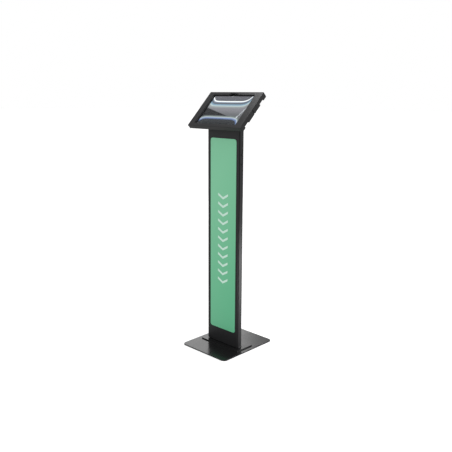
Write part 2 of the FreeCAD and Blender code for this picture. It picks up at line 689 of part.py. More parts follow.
def keeper_way():
    """The mouth in the tray's right wall that the keeper drops into."""
    v = KEEPER_W / 2 + 3
    return block(TRAY_HALF_W - TRAY_SHEET - 1, TRAY_HALF_W + 1, -v, v, -PIVOT_DEPTH, -TRAY_FRONT + 1)


def make_tray():
    outer = rounded(2 * TRAY_HALF_W, 2 * TRAY_HALF_H, -RIM_DEPTH, -TRAY_FRONT, TRAY_CORNER_R)
    outer = outer.makeFillet(TRAY_BEND_R, edges_at(outer, -RIM_DEPTH))
    inner = rounded(2 * (TRAY_HALF_W - TRAY_SHEET), 2 * (TRAY_HALF_H - TRAY_SHEET), TRAY_FLOOR, -TRAY_FRONT,
                    TRAY_CORNER_R - TRAY_SHEET)
    inner = inner.makeFillet(TRAY_BEND_R - TRAY_SHEET, edges_at(inner, TRAY_FLOOR))
    tools = [inner, keeper_way()]
    for side in (-1, 1):
        for v in (-NOTCH_MID, NOTCH_MID):
            tools.append(centred(2 * TRAY_NOTCH_IN, NOTCH_L + 2, -RIM_DEPTH - 1, -RIM_DEPTH + NOTCH_DEPTH,
                                 x=side * TRAY_HALF_W, y=v))
        wall_in = side * (TRAY_HALF_W - TRAY_SHEET)
        head_in = side * (TRAY_HALF_W - TRAY_SHEET - PIVOT_HEAD_T)
        tools.append(rod(PIVOT_HEAD_R, (head_in, PIVOT_V, -PIVOT_DEPTH), (wall_in, PIVOT_V, -PIVOT_DEPTH)))
        tools.append(rod(PIVOT_R, (wall_in, PIVOT_V, -PIVOT_DEPTH), (side * HALF_W, PIVOT_V, -PIVOT_DEPTH)))
    for x, y in corners(VESA / 2, VESA / 2):
        tools.append(rod(VESA_SCREW_R + VESA_CLEARANCE, (x, y, -RIM_DEPTH), (x, y, TRAY_FLOOR)))
    tools.append(rod(TRAY_CABLE_R, (0, 0, -RIM_DEPTH), (0, 0, TRAY_FLOOR)))
    tools.append(rod(LOCK_BARREL_R, (LOCK_X, 0, -RIM_DEPTH), (LOCK_X, 0, TRAY_FLOOR)))
    save("back_tray", at_head(cut_all(outer, tools)))

    head_grommet = fuse([rod(TRAY_CABLE_R, (0, 0, -RIM_DEPTH), (0, 0, TRAY_FLOOR)),
                         rod(TRAY_CABLE_R + GROMMET_LIP, (0, 0, TRAY_FLOOR), (0, 0, TRAY_FLOOR + GROMMET_LIP))])
    bore = rod(TRAY_CABLE_R - GROMMET_WALL, (0, 0, -RIM_DEPTH), (0, 0, TRAY_FLOOR + GROMMET_LIP))
    save("head_grommet", at_head(head_grommet.cut(bore)))

    screws = []
    for x, y in corners(VESA / 2, VESA / 2):
        head = rod(VESA_HEAD_R, (x, y, TRAY_FLOOR), (x, y, TRAY_FLOOR + VESA_HEAD_T))
        head = head.makeFillet(0.7, edges_at(head, TRAY_FLOOR + VESA_HEAD_T))
        screws.append(fuse([head, rod(VESA_SCREW_R, (x, y, TURN_BACK), (x, y, TRAY_FLOOR))]))
    save("head_screws", at_head(Part.makeCompound(screws)))

    wall_in = TRAY_HALF_W - TRAY_SHEET
    rivet = fuse([rod(PIVOT_HEAD_R, (wall_in - PIVOT_HEAD_T, PIVOT_V, -PIVOT_DEPTH), (wall_in, PIVOT_V, -PIVOT_DEPTH)),
                  rod(PIVOT_R, (wall_in, PIVOT_V, -PIVOT_DEPTH), (HALF_W, PIVOT_V, -PIVOT_DEPTH))])
    save("frame_pivots", *[at_head(r) for r in both_sides(rivet)])


def make_tablet_holders():
    """Corner blocks that grip the tablet's short edges, and soft pads behind it."""
    edge = TABLET_W / 2 + BLOCK_AIR
    wall = TRAY_HALF_W - TRAY_SHEET
    v1 = TRAY_HALF_H - TRAY_SHEET - BLOCK_WALL_GAP
    v0 = v1 - BLOCK_LONG
    grip = block(edge, wall - PIVOT_HEAD_T - BLOCK_AIR, v0, v1, TRAY_FLOOR, -BLOCK_GRIP)
    shelf = block(TABLET_W / 2 - BLOCK_SHELF, edge, v0, v1, TRAY_FLOOR, TABLET_BACK)
    one = fuse([grip, shelf])
    blocks = []
    for upper in (one, one.mirror(Vector(0, 0, 0), Vector(0, 1, 0))):
        blocks += both_sides(upper)
    save("corner_blocks", at_head(Part.makeCompound(blocks)))
    places = corners(TABLET_W / 2 - BACK_PAD_SIDE, TABLET_H / 2 - BACK_PAD_END)
    pads = [rod(BACK_PAD_R, (x, y, TRAY_FLOOR), (x, y, TABLET_BACK)) for x, y in places]
    save("back_pads", at_head(Part.makeCompound(pads)))


# ---------------------------------------------------------------- tablet
def button_box(x, length, air, v0, v1):
    """A key or its slot in the tablet's upper edge."""
    mid_z = (GLASS_BACK + TABLET_BACK) / 2
    half_l = length / 2 + air
    half_w = BUTTON_W / 2 + air
    return block(x - half_l, x + half_l, v0, v1, mid_z - half_w, mid_z + half_w)


def make_tablet():
    half_h = TABLET_H / 2
    shell = rounded(TABLET_W, TABLET_H, TABLET_BACK, GLASS_BACK, TABLET_R)
    shell = shell.makeFillet(1.5, edges_at(shell, TABLET_BACK))
    cavity = rounded(TABLET_W - 2 * SHELL_WALL, TABLET_H - 2 * SHELL_WALL, TABLET_BACK + SHELL_FLOOR, GLASS_BACK,
                     TABLET_R - SHELL_WALL)
    shell = shell.cut(cavity)
    for node, x, length in (("power_button", POWER_X, POWER_L), ("volume_rocker", VOLUME_X, VOLUME_L)):
        shell = shell.cut(button_box(x, length, BUTTON_AIR, half_h - 2 * SHELL_WALL, half_h + 1))
        key = button_box(x, length, 0.0, half_h - BUTTON_DEEP, half_h + BUTTON_PROUD)
        key = key.makeFillet(0.5, [e for e in edges_along(key, Vector(0, 0, 1)) if e.BoundBox.YMin > half_h])
        save(node, at_head(key))
    save("tablet_shell", at_head(shell))

    glass = rounded(TABLET_W - 2 * GLASS_INSET, TABLET_H - 2 * GLASS_INSET, GLASS_BACK, TABLET_FRONT,
                    TABLET_R - GLASS_INSET)
    save("tablet_glass", at_head(glass))
    display_w = TABLET_W - 2 * DISPLAY_SIDE
    display_h = TABLET_H - 2 * DISPLAY_END
    save("tablet_display", at_head(centred(display_w, display_h, GLASS_BACK - DISPLAY_T, GLASS_BACK)))
    lens_v = half_h - LENS_BELOW_EDGE
    save("tablet_camera", at_head(rod(LENS_R, (CAMERA_X, lens_v, GLASS_BACK - 2 * DISPLAY_T),
                                      (CAMERA_X, lens_v, GLASS_BACK))))
    floor = TABLET_BACK + SHELL_FLOOR
    battery_w = TABLET_W - 2 * BATTERY_SIDE
    battery_h = TABLET_H - 2 * BATTERY_END
    save("tablet_battery", at_head(rounded(battery_w, battery_h, floor, floor + BATTERY_T, BATTERY_R, y=-BATTERY_DROP)))
    board_w = TABLET_W - 2 * BOARD_SIDE
    board_v = half_h - BOARD_BELOW_TOP
    board_z = floor + BOARD_LIFT
    save("tablet_board", at_head(centred(board_w, BOARD_H, board_z, board_z + BOARD_T, x=-BOARD_OFFSET, y=board_v)))


# ---------------------------------------------------------------- lock
def make_lock():
    """Key lock in the tray's right margin. Its cam swings out over the frame's keeper."""
    cam_top = -LOCK_CAM_DEPTH
    cam_back = cam_top - LOCK_CAM_T
    barrel_front = cam_back - LOCK_AIR
    flange_back = -RIM_DEPTH - LOCK_FLANGE_T
    barrel = fuse([rod(LOCK_BARREL_R, (LOCK_X, 0, -RIM_DEPTH), (LOCK_X, 0, barrel_front)),
                   rod(LOCK_FLANGE_R, (LOCK_X, 0, flange_back), (LOCK_X, 0, -RIM_DEPTH))])
    bore = rod(LOCK_PLUG_R + RUNNING, (LOCK_X, 0, flange_back), (LOCK_X, 0, barrel_front))
    save("lock_barrel", at_head(barrel.cut(bore)))
    nut = hexagon(LOCK_NUT_R, (LOCK_X, 0, TRAY_FLOOR), (LOCK_X, 0, TRAY_FLOOR + LOCK_NUT_T))
    save("lock_nut", at_head(nut.cut(rod(LOCK_BARREL_R, (LOCK_X, 0, TRAY_FLOOR), (LOCK_X, 0, barrel_front)))))

    plug = rod(LOCK_PLUG_R, (LOCK_X, 0, flange_back), (LOCK_X, 0, cam_top))
    key_slot = centred(KEY_SLOT_L, KEY_SLOT_W, flange_back, flange_back + KEY_SLOT_DEEP, x=LOCK_X)
    save("lock_plug", at_head(plug.cut(key_slot)))
    half = LOCK_CAM_W / 2
    cam = fuse([rod(half + 1.0, (LOCK_X, 0, cam_back), (LOCK_X, 0, cam_top)),
                block(LOCK_X - half, LOCK_X + half, -LOCK_CAM_REACH + half, 0, cam_back, cam_top),
                rod(half, (LOCK_X, -LOCK_CAM_REACH + half, cam_back), (LOCK_X, -LOCK_CAM_REACH + half, cam_top))])
    save("lock_cam", at_head(cam.cut(rod(LOCK_PLUG_R, (LOCK_X, 0, cam_back), (LOCK_X, 0, cam_top)))))
    screw = rod(CAM_SCREW_R + 1.0, (LOCK_X, 0, cam_top), (LOCK_X, 0, cam_top + CAM_SCREW_T))
    cross = [centred(CAM_SCREW_R * 1.4, 0.8, cam_top + CAM_SCREW_T / 2, cam_top + CAM_SCREW_T, x=LOCK_X),
             centred(0.8, CAM_SCREW_R * 1.4, cam_top + CAM_SCREW_T / 2, cam_top + CAM_SCREW_T, x=LOCK_X)]
    save("cam_screw", at_head(cut_all(screw, cross)))


def main():
    os.makedirs("parts", exist_ok=True)
    make_base()
    make_channel()
    make_column_trim()
    make_sign()
    tilt_in, tilt_out = make_neck()
    make_tilt_bracket(tilt_in, tilt_out)
    make_turntable()
    make_front_frame()
    make_tray()
    make_tablet_holders()
    make_tablet()
    make_lock()
    print("hinge", round(NECK_Y, 3), round(HINGE_Z, 3), "face", round(FACE_Y, 3), round(FACE_Z, 3))


main()
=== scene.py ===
"""Looks for the touchscreen kiosk: finishes for every piece, the sign's pattern, the screen, and the studio."""

import json
import math

import bmesh
import bpy
from mathutils import Matrix, Vector


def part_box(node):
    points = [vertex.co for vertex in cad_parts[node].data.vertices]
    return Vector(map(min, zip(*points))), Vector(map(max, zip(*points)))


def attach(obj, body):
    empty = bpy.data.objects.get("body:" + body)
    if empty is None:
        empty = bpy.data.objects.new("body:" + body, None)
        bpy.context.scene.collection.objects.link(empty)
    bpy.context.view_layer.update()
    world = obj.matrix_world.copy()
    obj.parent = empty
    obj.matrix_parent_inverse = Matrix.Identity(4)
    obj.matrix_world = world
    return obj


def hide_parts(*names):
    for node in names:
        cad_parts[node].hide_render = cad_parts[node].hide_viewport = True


bl_info = {
    "name": "Touchscreen kiosk",
    "version": (1, 0, 0),
    "blender": (4, 5, 0),
    "location": "3D View > Sidebar > Kiosk",
    "description": "Finishes, sign pattern, lit screen and studio for a free-standing tablet kiosk",
    "category": "Object",
}

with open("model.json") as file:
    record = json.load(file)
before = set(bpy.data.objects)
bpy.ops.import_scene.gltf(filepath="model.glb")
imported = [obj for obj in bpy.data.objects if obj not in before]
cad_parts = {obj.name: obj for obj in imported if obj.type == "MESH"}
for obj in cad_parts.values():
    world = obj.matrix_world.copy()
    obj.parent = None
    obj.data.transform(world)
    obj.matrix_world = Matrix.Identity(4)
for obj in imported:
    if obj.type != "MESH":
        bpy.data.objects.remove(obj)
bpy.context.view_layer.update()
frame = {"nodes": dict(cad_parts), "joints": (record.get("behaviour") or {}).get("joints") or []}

MM = 0.001
HEAD_TILT = math.radians(45.0)
EDGE_STEPS = 4  # facets across the rounding of the glass's edge
RUB_RADIUS = 0.0007  # how far in from an edge the coat is rubbed
WELD_SETBACK = 0.004  # the weld ends this far behind the column's front edge
CAST_RIPPLE_MM = 45.455  # width of the slow ripples in cast acrylic
SMEAR_MM = 41.667  # width of a wiped smear on the glass
GLARE_BREAK_MM = 7.692  # width of the breaks in the painted reflection streak on the screen
FLOOR_REACH = 40.0
DIMMING = (0.18, 0.60)  # the surround dims between these heights of a ray's direction
UNDERSIDE = (-0.10, -0.04)  # and changes to the light from below between these
# Each light's name, its power's property, its width, its place and the point it faces.
LIGHTS = (
    ("key_light", "key", 0.40, (0.02, 0.05, 1.66), (0.12, 0, 1.1)),
    ("back_light", "back", 2.0, (-3.1, 2.2, 1.6), (0, 0, 0.1)),
    ("fill_light", "fill", 0.3, (0.75, 0.45, 0.16), (0.08, 0, 0.15)),
)


# ---------------------------------------------------------------- places taken from the packed model
def joint(name):
    """A joint of the packed record, by name."""
    return next(j for j in frame["joints"] if j["name"] == name)


HEAD_FACE = Vector(joint("head_turn")["pos_m"])
HEAD_TURN = Matrix.Rotation(HEAD_TILT, 4, "X")
HEAD_PLACE = Matrix.Translation(HEAD_FACE) @ HEAD_TURN
HEAD_INVERSE = HEAD_PLACE.inverted()


def head_box(node):
    """A node's lowest and highest corners in the head's own frame: across, up the face, out of the face."""
    places = [HEAD_INVERSE @ v.co for v in frame["nodes"][node].data.vertices]
    low = Vector(min(p[k] for p in places) for k in range(3))
    high = Vector(max(p[k] for p in places) for k in range(3))
    return low, high


# ---------------------------------------------------------------- sizes and colours that a user would change
def linear(code):
    """An sRGB hex code as a linear colour."""
    parts = [int(code[k:k + 2], 16) / 255 for k in (0, 2, 4)]
    return [p / 12.92 if p <= 0.04045 else ((p + 0.055) / 1.055) ** 2.4 for p in parts] + [1.0]


def size(label, note, value):
    """A length property."""
    return bpy.props.FloatProperty(name=label, description=note, default=value, min=0.0, unit="LENGTH", precision=5)


def colour(label, note, code):
    """A colour property, whose default is given as an sRGB hex code."""
    return bpy.props.FloatVectorProperty(name=label, description=note, default=linear(code), size=4, min=0.0, max=1.0,
                                         subtype="COLOR")


class KioskFinishes(bpy.types.PropertyGroup):
    """Colours of the kiosk's finishes."""
    coat: colour("Powder coat", "Colour of the column, the head and the brackets", "1A1A1C")
    base_coat: colour("Base coat", "Colour of the base plate and the foot plate", "1B1B1C")
    acrylic: colour("Sign panel", "Colour of the acrylic sign panel", "69C998")
    vinyl: colour("Sign pattern", "Colour of the cut vinyl pattern on the sign panel", "DAFAEA")
    rubber: colour("Rubber", "Colour of the feet and the grommets", "1B1B1C")
    plastic: colour("Moulded plastic", "Colour of the tablet's corner blocks and the sign's backing", "1F1F21")
    foam: colour("Foam", "Colour of the gasket and the pads", "38383A")
    tablet: colour("Tablet shell", "Colour of the anodised tablet shell and its keys", "8B8D91")


class KioskSign(bpy.types.PropertyGroup):
    """The chevron pattern on the sign panel."""
    count: bpy.props.IntProperty(name="Chevrons", description="How many chevrons the pattern has", default=11, min=1)
    pitch: size("Pitch", "Distance from one chevron to the next", 0.040)
    width: size("Width", "Width of a chevron", 0.062)
    rise: size("Rise", "How far the middle of a chevron hangs below its ends", 0.017)
    stroke: size("Stroke", "Height of a chevron's stroke", 0.0110)
    thickness: size("Thickness", "Thickness of the vinyl", 0.00012)
    drop: size("Drop", "Distance from the panel's top edge to the first chevron's ends", 0.248)


class KioskTablet(bpy.types.PropertyGroup):
    """The tablet's cover glass and screen."""
    glass_gap: size("Glass gap", "Air left between the glass and the display", 0.0001)
    glass_edge: size("Glass edge", "Rounding of the glass's front edge", 0.0003)
    glass_corner: size("Glass corner", "Corner radius of the glass", 0.0096)
    ink: size("Ink thickness", "Thickness of the black print behind the glass", 0.00004)
    ink_gap: size("Ink gap", "Distance from the glass's back face plane to the print", 0.00002)
    ink_inset: size("Ink inset", "Distance from the glass's edge to the print", 0.0012)
    window_corner: size("Window corner", "Corner radius of the clear window in the print", 0.003)
    glow: bpy.props.FloatProperty(name="Screen glow", description="Brightness of the lit display", default=1.3, min=0)


class KioskWeld(bpy.types.PropertyGroup):
    """The weld bead round the foot of the column."""
    bead: size("Bead", "Radius of the weld bead", 0.0022)
    ripple: size("Ripple", "Distance between the bead's ripples", 0.0016)
    wander: bpy.props.FloatProperty(name="Wander", description="How much the ripples differ in size", default=0.12)
    seed: bpy.props.IntProperty(name="Seed", description="Seed of the ripples' sizes", default=7)


class KioskStage(bpy.types.PropertyGroup):
    """Camera and lights."""
    camera: bpy.props.FloatVectorProperty(name="Camera", description="Camera position", unit="LENGTH",
                                          default=(1.86407, -1.94635, 1.17406))
    azimuth: bpy.props.FloatProperty(name="Azimuth", description="Camera heading", subtype="ANGLE",
                                     default=math.radians(43.99))
    pitch: bpy.props.FloatProperty(name="Pitch", description="How far the camera looks down", subtype="ANGLE",
                                   default=math.radians(12.45))
    roll: bpy.props.FloatProperty(name="Roll", description="Turn of the camera about its own axis", subtype="ANGLE",
                                  default=math.radians(0.34))
    lens: bpy.props.FloatProperty(name="Lens", description="Focal length on a 36 mm sensor", default=47.34)
    surround: bpy.props.FloatProperty(name="Surround", description="Brightness of the white backdrop", default=1.0)
    ceiling: bpy.props.FloatProperty(name="Ceiling", description="Brightness of the surround overhead", default=0.60)
    bounce: bpy.props.FloatProperty(name="Bounce", description="Light that comes back up from below", default=0.64)
    floor_glow: bpy.props.FloatProperty(name="Floor glow", description="Light given off by the white floor",
                                        default=0.52)
    key: bpy.props.FloatProperty(name="Key light", description="Power of the small softbox over the head", default=4.0)
    back: bpy.props.FloatProperty(name="Back light", description="Power of the softbox behind the kiosk", default=18.0)
    fill: bpy.props.FloatProperty(name="Fill light", description="Power of the low softbox on the right", default=4.5)


# ---------------------------------------------------------------- mesh and node helpers
def add(tree, kind, links=None, **settings):
    """Adds a node, applies its settings, and fills or links its inputs."""
    node = tree.nodes.new(kind)
    for key, value in settings.items():
        setattr(node, key, value)
    for socket, source in (links or {}).items():
        if isinstance(source, bpy.types.NodeSocket):
            tree.links.new(source, node.inputs[socket])
        else:
            node.inputs[socket].default_value = source
    return node


def new_material(name):
    """An empty material and its node tree."""
    material = bpy.data.materials.new(name)
    material.use_nodes = True
    material.node_tree.nodes.clear()
    return material, material.node_tree


def grained(name, tint, rough, grain_mm, bump, mottle=0.06, metal=0.0, stretch=(1, 1, 1), patch_mm=90.0,
            rough_spread=0.05, coat=0.0, coat_rough=0.05, sheen=0.0, wear=None, ior=1.5, cells=False):
    """A surface with a fine grain, slow changes of tone, and paler rubbed edges where wear gives a colour."""
    material, tree = new_material(name)
    place = add(tree, "ShaderNodeTexCoord").outputs["Object"]
    stretched = add(tree, "ShaderNodeMapping", {"Vector": place, "Scale": stretch}).outputs["Vector"]
    if cells:
        grain = add(tree, "ShaderNodeTexVoronoi", {"Vector": stretched, "Scale": 1000 / grain_mm}).outputs["Distance"]
    else:
        grain = add(tree, "ShaderNodeTexNoise", {"Vector": stretched, "Scale": 1000 / grain_mm, "Detail": 3.0,
                                                 "Roughness": 0.55}).outputs["Fac"]
    patch = add(tree, "ShaderNodeTexNoise", {"Vector": place, "Scale": 1000 / patch_mm, "Detail": 2.0}).outputs["Fac"]
    dark = [c * (1 - mottle) for c in tint[:3]] + [1.0]
    pale = [min(1.0, c * (1 + mottle)) for c in tint[:3]] + [1.0]
    tone = add(tree, "ShaderNodeMix", {"Factor": patch, "A": dark, "B": pale}, data_type="RGBA").outputs["Result"]
    if wear:
        bevel = add(tree, "ShaderNodeBevel", {"Radius": RUB_RADIUS}, samples=4).outputs["Normal"]
        flat = add(tree, "ShaderNodeNewGeometry").outputs["Normal"]
        lean = add(tree, "ShaderNodeVectorMath", {0: bevel, 1: flat}, operation="DOT_PRODUCT").outputs["Value"]
        rubbed = add(tree, "ShaderNodeMapRange", {"Value": lean, "From Min": 0.995, "From Max": 0.90, "To Min": 0.0,
                                                  "To Max": 0.55}).outputs["Result"]
        tone = add(tree, "ShaderNodeMix", {"Factor": rubbed, "A": tone, "B": wear},
                   data_type="RGBA").outputs["Result"]
    gloss = add(tree, "ShaderNodeMapRange", {"Value": patch, "From Min": 0.3, "From Max": 0.7,
                                             "To Min": rough - rough_spread,
                                             "To Max": rough + rough_spread}).outputs["Result"]
    relief = add(tree, "ShaderNodeBump", {"Height": grain, "Strength": bump, "Distance": grain_mm * MM * 0.25})
    shader = add(tree, "ShaderNodeBsdfPrincipled", {
        "Base Color": tone, "Roughness": gloss, "Metallic": metal, "Normal": relief.outputs["Normal"],
        "Coat Weight": coat, "Coat Roughness": coat_rough, "Sheen Weight": sheen,
    })
    if metal < 0.5:
        shader.inputs["IOR"].default_value = ior
    add(tree, "ShaderNodeOutputMaterial", {"Surface": shader.outputs["BSDF"]})
    return material


def dress(material, *nodes):
    """Gives CAD nodes a material."""
    for node in nodes:
        mesh = frame["nodes"][node].data
        mesh.materials.clear()
        mesh.materials.append(material)


def new_object(name, vertices, faces, material=None, place=None):
    """A mesh object from points and faces, with its place in its mesh."""
    mesh = bpy.data.meshes.new(name)
    mesh.from_pydata([tuple(v) for v in vertices], [], faces)
    if place is not None:
        mesh.transform(place)
    if material:
        mesh.materials.append(material)
    piece = bpy.data.objects.new(name, mesh)
    bpy.context.scene.collection.objects.link(piece)
    return piece


def face_outwards(piece):
    """Merges doubles and turns every face outwards."""
    work = bmesh.new()
    work.from_mesh(piece.data)
    bmesh.ops.remove_doubles(work, verts=work.verts, dist=1e-7)
    bmesh.ops.recalc_face_normals(work, faces=work.faces)
    work.to_mesh(piece.data)
    work.free()


def rounded_outline(x0, x1, y0, y1, r, steps=10):
    """Points round a rectangle with rounded corners, anticlockwise."""
    points = []
    for cx, cy, start in ((x1 - r, y1 - r, 0), (x0 + r, y1 - r, 90), (x0 + r, y0 + r, 180), (x1 - r, y0 + r, 270)):
        for k in range(steps + 1):
            a = math.radians(start + 90 * k / steps)
            points.append((cx + r * math.cos(a), cy + r * math.sin(a)))
    return points


def stacked(name, layers, material, place, caps=True):
    """A closed shape through outlines stacked one above another: each layer is (points, height)."""
    count = len(layers[0][0])
    vertices = [Vector((x, y, z)) for points, z in layers for x, y in points]
    faces = []
    for layer in range(len(layers) - 1):
        for k in range(count):
            a = layer * count + k
            b = layer * count + (k + 1) % count
            faces.append((a, b, b + count, a + count))
    if caps:
        faces.append(tuple(reversed(range(count))))
        faces.append(tuple(range((len(layers) - 1) * count, len(layers) * count)))
    piece = new_object(name, vertices, faces, material, place)
    face_outwards(piece)
    return piece


def node_tree(name, inputs):
    """A Geometry Nodes tree with a geometry input and named size inputs."""
    tree = bpy.data.node_groups.new(name, "GeometryNodeTree")
    tree.interface.new_socket("Geometry", in_out="INPUT", socket_type="NodeSocketGeometry")
    for label, kind in inputs:
        tree.interface.new_socket(label, in_out="INPUT", socket_type=kind)
    tree.interface.new_socket("Geometry", in_out="OUTPUT", socket_type="NodeSocketGeometry")
    return tree, add(tree, "NodeGroupInput").outputs


def grow(piece, tree, values):
    """Runs a Geometry Nodes tree on an object and keeps the result as its plain mesh."""
    modifier = piece.modifiers.new(tree.name, "NODES")
    modifier.node_group = tree
    for item in tree.interface.items_tree:
        if item.in_out == "INPUT" and item.name in values:
            modifier[item.identifier] = values[item.name]
    bpy.context.view_layer.update()
    grown = bpy.data.meshes.new_from_object(piece.evaluated_get(bpy.context.evaluated_depsgraph_get()))
    piece.modifiers.remove(modifier)
    piece.data = grown
    grown.name = piece.name
    return piece


# ---------------------------------------------------------------- operators
class KIOSK_OT_coated_steel(bpy.types.Operator):
    """Powder-coated sheet steel: base, column, sign cover, brackets, tray and front frame"""
    bl_idname = "kiosk.coated_steel"
    bl_label = "Coated steel"

    def execute(self, context):
        finish = context.scene.kiosk_finishes
        rubbed = linear("3A3A3D")
        # Satin polyester powder coat: a soft sheen broken by orange peel, drawn at 2.4 mm so that it shows.
        coat = grained("satin_powder_coat", finish.coat, 0.42, 2.4, 0.16, wear=rubbed, patch_mm=140.0, ior=1.38)
        # Semi-gloss coat on plate steel: flatter and glossier, it mirrors the room at a low angle.
        base = grained("semi_gloss_powder_coat", finish.base_coat, 0.21, 3.2, 0.06, wear=rubbed, patch_mm=120.0,
                       ior=1.42)
        dress(coat, "column_channel", "column_cap", "sign_frame", "front_frame", "back_tray", "tilt_bracket",
              "neck_bracket")
        dress(base, "base_plate", "foot_plate")
        return {"FINISHED"}


class KIOSK_OT_fixings(bpy.types.Operator):
    """Bare and plated metal: screws, bolt, rivets, washers, turntable and lock"""
    bl_idname = "kiosk.fixings"
    bl_label = "Fixings"

    def execute(self, context):
        # Bright zinc plate on turned steel: grey metal with fine turning lines and a faint bloom.
        zinc = grained("bright_zinc_plate", linear("B9BCC0"), 0.30, 0.5, 0.10, metal=1.0, stretch=(1, 1, 6),
                       mottle=0.10, patch_mm=12.0)
        # Black oxide on the screws that show against the coat: dark, oily and half dull.
        oxide = grained("black_oxide_steel", linear("2C2C2E"), 0.38, 0.6, 0.12, metal=0.85, mottle=0.12, patch_mm=9.0)
        # Black phosphate on the threaded inserts, the lock and its keeper: dry, almost black, with a faint grain.
        phosphate = grained("black_phosphate_steel", linear("0D0D0E"), 0.58, 0.6, 0.15, metal=0.3, mottle=0.15,
                            patch_mm=8.0)
        # Bright nickel: warmer and sharper than zinc.
        nickel = grained("bright_nickel_plate", linear("CBC6BC"), 0.14, 0.8, 0.04, metal=1.0, mottle=0.05,
                         patch_mm=10.0)
        # Brushed plate of the turntable: lines one way across the disc.
        brushed = grained("brushed_steel_plate", linear("A9ABAE"), 0.34, 0.7, 0.16, metal=1.0, stretch=(0.06, 1, 1),
                          mottle=0.08, patch_mm=30.0)
        # Machined acetal: waxy off-white with faint tool marks.
        acetal = grained("machined_acetal", linear("E4E1D8"), 0.42, 0.6, 0.06, stretch=(1, 1, 4), ior=1.48,
                         patch_mm=15.0)
        dress(zinc, "tilt_bolt", "tilt_nut", "retaining_ring", "stop_pin", "head_screws", "cam_screw")
        dress(oxide, "foot_screws", "neck_screws", "frame_pivots", "keeper_rivets")
        dress(phosphate, "side_inserts", "lock_barrel", "lock_plug", "lock_keeper", "lock_cam")
        dress(nickel, "lock_nut", "sign_magnets", "sign_pegs")
        dress(brushed, "turn_plate")
        dress(acetal, "friction_washers", "turn_washer", "turn_bush")
        return {"FINISHED"}


class KIOSK_OT_soft_parts(bpy.types.Operator):
    """Rubber, foam and moulded plastic"""
    bl_idname = "kiosk.soft_parts"
    bl_label = "Rubber, foam and plastic"

    def execute(self, context):
        finish = context.scene.kiosk_finishes
        # Moulded rubber: dead matte, slightly dusty.
        rubber = grained("moulded_rubber", finish.rubber, 0.78, 1.2, 0.20, mottle=0.18, sheen=0.15, patch_mm=14.0)
        # Closed-cell foam: fine pits that catch the light.
        foam = grained("closed_cell_foam", finish.foam, 0.92, 0.9, 0.55, mottle=0.10, cells=True, patch_mm=18.0)
        # Moulded ABS with a spark-eroded texture: even, dry sparkle.
        plastic = grained("textured_abs", finish.plastic, 0.55, 0.8, 0.22, mottle=0.06, patch_mm=60.0)
        dress(rubber, "rubber_feet", "cable_grommet", "head_grommet")
        dress(foam, "frame_gasket", "back_pads")
        dress(plastic, "corner_blocks", "sign_backer")
        return {"FINISHED"}


